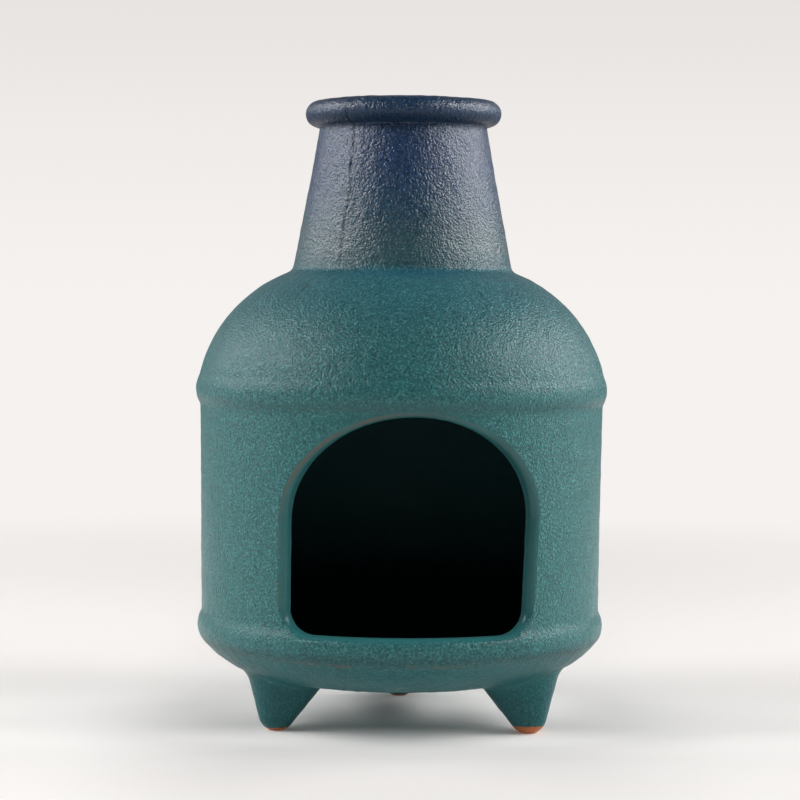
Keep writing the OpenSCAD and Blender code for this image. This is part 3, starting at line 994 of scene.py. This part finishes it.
def scratched(n, at, colour):
    """A hairline scratch that slants across the dome, front left."""
    middle = n.plus(n.times(n.less(at.z, 163.6), -0.0034), -0.704)
    aside = n.times(n.less(at.around, middle), at.radius)
    ends = n.times(n.ramp(at.z, 163.0, 163.8), n.fall(at.z, 169.0, 169.8))
    return n.mix(n.times(n.near(aside, 0.0, 0.75), ends, 0.9), colour, SCRATCH_DARK)


def mouth_wear(n, at, colour, along):
    """Broken lines of wear along the mouth's outer and inner edges."""
    high = n.plus(at.lip, n.ramp(at.z, 84.0, 112.0, 0.0, -0.12))
    edge = n.near(high, 0.74, n.ramp(at.z, 84.0, 100.0, 0.08, 0.14))
    edge = n.times(edge, n.ramp(at.z, 80.0, 96.0, 0.6, 1.0), n.ramp(at.x, -14.0, 4.0, 1.0, 0.5))
    edge = n.times(edge, n.ramp(along, 0.28, 0.48), n.ramp(at.x, -10.0, 25.0, 1.0, 0.35))
    edge = n.times(edge, n.ramp(at.z, 46.0, 54.0), 0.75)
    inner_edge = n.times(n.near(at.lip, 1.86, 0.10), 0.35)
    return n.mix(inner_edge, n.mix(edge, colour, WORN), PALE)


def band_wear(n, at, colour, along):
    """Broken brown lines under the lower band and along the dish's bottom edge."""
    sag = n.wobble(at.where, 18, 1.6)
    under_band = n.times(n.near(n.plus(at.z, sag), 31.8, 0.95), n.ramp(along, 0.36, 0.54),
            n.near(at.around, -0.1, 0.75), 0.65)
    low_edge = n.times(n.near(n.plus(at.z, n.times(sag, 0.5)), 19.9, 0.5), n.ramp(along, 0.40, 0.70),
            n.near(at.around, -0.05, 0.9), 0.35)
    return n.mix(low_edge, n.mix(under_band, colour, WORN), WORN_LIGHT)


def rubbed(n, at, colour):
    """Small rubs and chips."""
    for azimuth, height, half_width, half_height, share, tint in MARKS:
        aside = n.times(n.less(at.around, math.radians(azimuth)), n.over(at.radius, half_width))
        above = n.over(n.less(at.z, height), half_height)
        ragged = n.ramp(n.noise(at.where, 1.1, 3), 0.35, 0.55)
        rub = n.times(n.fall(n.length(aside, above), 0.2, 1.0), ragged, share)
        colour = n.mix(rub, colour, tint)
    return colour


def bare_clay(n, at, colour):
    """Bare clay on the tips of the feet, more of it on the right one, and a dark colour inside."""
    level = n.plus(n.ramp(at.x, -20.0, 20.0, -1.2, -3.1), n.ramp(at.y, 20.0, 40.0, 0.0, 1.5))
    height = n.plus(n.plus(at.z, n.wobble(at.where, 3.5, 1.6, 3)), level)
    bare = n.fall(height, -0.25, 0.25)
    return n.mix(at.unglazed, n.mix(bare, colour, CLAY), DARK_INSIDE)


def gloss(n, at):
    """Specular level: duller below the neck, under the dish, under the roll and inside."""
    level = n.times(n.ramp(at.z, 172.0, 184.0, 0.36, 0.85), n.ramp(at.z, 27.0, 35.0, 0.4, 1.0))
    level = n.times(level, n.less(1.0, n.times(n.near(at.z, RIM_Z - 3.5, 5.0), 0.8)))
    return n.times(level, n.less(1.0, n.times(at.unglazed, 0.9)))


def glaze(name):
    """Satin sprayed glaze: teal that turns navy with height, with a leathery pebble."""
    material, n = new_material(name)
    at = Spot(n)
    bent, share = bent_place(n, at), pebble_share(n, at)
    ridges = n.noise(bent, PEBBLE, 1.0, 0.5, 0.2)
    along = n.noise(at.where, 14, 3, 0.6)
    colour = pebble_shade_and_highlight(n, sprayed(n, at), ridges, share)
    colour = painted_shade_and_sill_light(n, at, round_neck(n, at, colour))
    colour = scratched(n, at, seam_groove_shade(n, at, colour))
    colour = band_wear(n, at, mouth_wear(n, at, colour, along), along)
    colour = bare_clay(n, at, rubbed(n, at, colour))
    coarse = n.times(n.noise(bent, COARSE_PEBBLE, 0.0), n.ramp(at.z, 165.0, 185.0, 0.1, 0.45))
    bump = n.add("Bump", {"Height": n.times(n.plus(ridges, coarse), share),
            "Distance": PEBBLE_HEIGHT, "Strength": 1.0})
    n.finish(Base_Color=colour, Normal=bump, Specular_IOR_Level=gloss(n, at),
            Roughness=n.ramp(n.noise(at.where, 4, 2), 0.3, 0.7, 0.29, 0.35))
    return material


def build_pot():
    teal, dusk, navy, foot_glaze = (glaze(name) for name in
            ("glaze_teal", "glaze_dusk", "glaze_navy", "glaze_foot"))
    base_dish(teal)
    lower_band(teal)
    belly(teal)
    shoulder_band(teal)
    dome(dusk)
    neck(navy)
    rim_roll(navy)
    for name, (azimuth, distance, splay) in FEET.items():
        foot(name, azimuth, distance, splay, foot_glaze)


# ---- the studio, in metres

PAPER = (0.93, 0.898, 0.88, 1)
BACKDROP = (1.0, 0.963, 0.94, 1)
BLACK = (0, 0, 0, 1)
BACKDROP_GLOW = (0.92, 0.74)  # low down and high up
PAINTED_FLOOR_LIGHT = (0.28, 0.165)  # painted light that the floor gives off, left and right
ROOM_FRONT, ROOM_BACK = 0.02, 0.25  # strengths of the room's light
ROOM_TINT = (1, 0.99, 0.98, 1)
COVE_START, COVE_R, WALL_TOP = 1.7, 0.7, (2.4, 3.6)
WALL_DROP = 0.0005  # keeps the wall's foot just under the floor
LIGHTS_AIM = np.array([0, 0, 0.12])
SOFTBOX_DISTANCE, SOFTBOX_WIDTH = 1.3, 0.4
SOFTBOXES = [  # name, azimuth, elevation, height, power
    ("left_front", -50, 33, 0.4, 0.9),
    ("left_key", -71, 33, 0.4, 5.6),
    ("left_side", -92, 33, 0.4, 2.5),
    ("left_low", -92, 10, 0.4, 1.8),
    ("left_back", -118, 22, 0.7, 3.6),
    ("right_front", 50, 33, 0.4, 2.0),
    ("right_key", 73, 33, 0.4, 5.1),
    ("right_side", 92, 33, 0.4, 2.4),
    ("right_low", 92, 10, 0.4, 2.6),
    ("right_back", 118, 22, 0.7, 5.0),
]
CAMERA_AT = (-0.00054, -0.9488, 0.1642)
CAMERA_LENS, SENSOR = 110.25, 36  # in millimetres
CAMERA_DIP = 2.384  # degrees below level
CAMERA_ROLL = 0.0075  # radians


def round_sheet(name, section, material, sides=96):
    """A sheet of revolution round the pot, which belongs to the studio."""
    points, faces = [], []
    for r, z in section:
        points += [(r * math.cos(a), r * math.sin(a), z)
                for a in np.linspace(0, 2 * math.pi, sides, endpoint=False)]
    for row in range(len(section) - 1):
        low, high = row * sides, (row + 1) * sides
        for k in range(sides):
            n = (k + 1) % sides
            faces.append((low + k, low + n, high + n, high + k))
    mesh = bpy.data.meshes.new(name)
    mesh.from_pydata(points, [], faces)
    mesh.polygons.foreach_set("use_smooth", [True] * len(faces))
    mesh.materials.append(material)
    sheet = bpy.data.objects.new(name, mesh)
    scene.collection.objects.link(sheet)
    return sheet


def painted_floor_light(n, x, y):
    """Painted light that the floor gives off, standing in for the room's light: beside the pot, under
    its front and in from behind.
    """
    aside = n.math("ABSOLUTE", x)
    level = n.times(n.ramp(x, -0.05, 0.05, *PAINTED_FLOOR_LIGHT), n.ramp(y, 0.0, 0.11, 1.0, 0.42))
    beside = n.times(n.ramp(aside, 0.05, 0.13), level, n.ramp(y, -0.10, -0.02, 0.6, 1.0))
    front = n.times(n.near(y, -0.045, 0.035), n.ramp(aside, 0.05, 0.11, 0.25, 0.03))
    back = n.times(n.near(y, 0.035, 0.055), n.ramp(x, -0.02, 0.03, 0.14, 0.23))
    back = n.times(back, n.ramp(n.math("ABSOLUTE", n.plus(x, 0.005)), 0.0, 0.022))
    back = n.times(back, n.fall(aside, 0.05, 0.09))
    return n.plus(beside, n.plus(front, back))


def paper(name):
    """Paper that blends into an evenly lit backdrop, with a painted shadow of the rear foot and
    painted light that the floor gives off near the pot.
    """
    material, n = new_material(name)
    x, y, z = n.split(n.add("TexCoord", output=3))
    far = n.ramp(n.length(x, y), 0.30, 0.95)
    glow = n.ramp(z, 0.10, 0.85, *BACKDROP_GLOW)
    # painted shadow of the rear foot, darkening the paper's colour
    painted_shadow = n.times(n.near(x, -0.005, 0.018), n.near(y, 0.03, 0.055), 0.35)
    n.finish(Base_Color=n.mix(far, n.mix(painted_shadow, PAPER, BLACK), BLACK), Roughness=0.8,
            Specular_IOR_Level=0.0, Emission_Color=BACKDROP,
            Emission_Strength=n.mix_value(far, painted_floor_light(n, x, y), glow))
    return material


def sweep():
    """A pale floor that bounces light, and a backdrop that only the camera sees."""
    material = paper("sweep_paper")
    round_sheet("sweep_floor", [(0.0, 0.0), (0.3, 0.0), (1.0, 0.0)], material)
    cove = [(COVE_START + COVE_R * math.sin(a), COVE_R * (1 - math.cos(a)) - WALL_DROP)
            for a in np.radians(np.linspace(0, 90, 13))]
    wall = round_sheet("sweep_wall", [(0.95, -WALL_DROP)] + cove + [WALL_TOP], material)
    wall.visible_diffuse = False
    wall.visible_glossy = False
    wall.visible_shadow = False


def softbox(name, azimuth, elevation, height, power):
    """An area light that faces the pot's middle. The camera doesn't see it."""
    a, e = math.radians(azimuth), math.radians(elevation)
    way = np.array([math.sin(a) * math.cos(e), -math.cos(a) * math.cos(e), math.sin(e)])
    light = bpy.data.lights.new(name, "AREA")
    light.shape = "RECTANGLE"
    light.size, light.size_y = SOFTBOX_WIDTH, height
    light.energy = power
    lamp = bpy.data.objects.new(name, light)
    lamp.location = LIGHTS_AIM + way * SOFTBOX_DISTANCE
    lamp.rotation_euler = (math.pi / 2 - e, 0, a)
    lamp.visible_camera = False
    scene.collection.objects.link(lamp)


def room():
    """The room's own light: the bright backdrop behind and a dim front."""
    world = bpy.data.worlds.new("studio")
    world.use_nodes = True
    n = Nodes(world.node_tree)
    y = n.split(n.add("TexCoord", output=0))[1]
    background = world.node_tree.nodes["Background"]
    n.put(background.inputs["Color"], ROOM_TINT)
    n.put(background.inputs["Strength"], n.ramp(y, -0.1, 0.8, ROOM_FRONT, ROOM_BACK))
    scene.world = world


def studio():
    sweep()
    room()
    for light in SOFTBOXES:
        softbox(*light)


def place_camera():
    camera = bpy.data.cameras.new("camera")
    camera.sensor_width = SENSOR
    camera.lens = CAMERA_LENS
    shot = bpy.data.objects.new("camera", camera)
    shot.location = CAMERA_AT
    shot.rotation_mode = "XYZ"
    shot.rotation_euler = (math.radians(90 - CAMERA_DIP), 0.0, 0.0)
    shot.matrix_world = shot.matrix_basis @ Matrix.Rotation(CAMERA_ROLL, 4, "Z")
    scene.collection.objects.link(shot)
    scene.camera = shot


place_camera()
studio()
build_pot()
scene.view_settings.view_transform = "Standard"
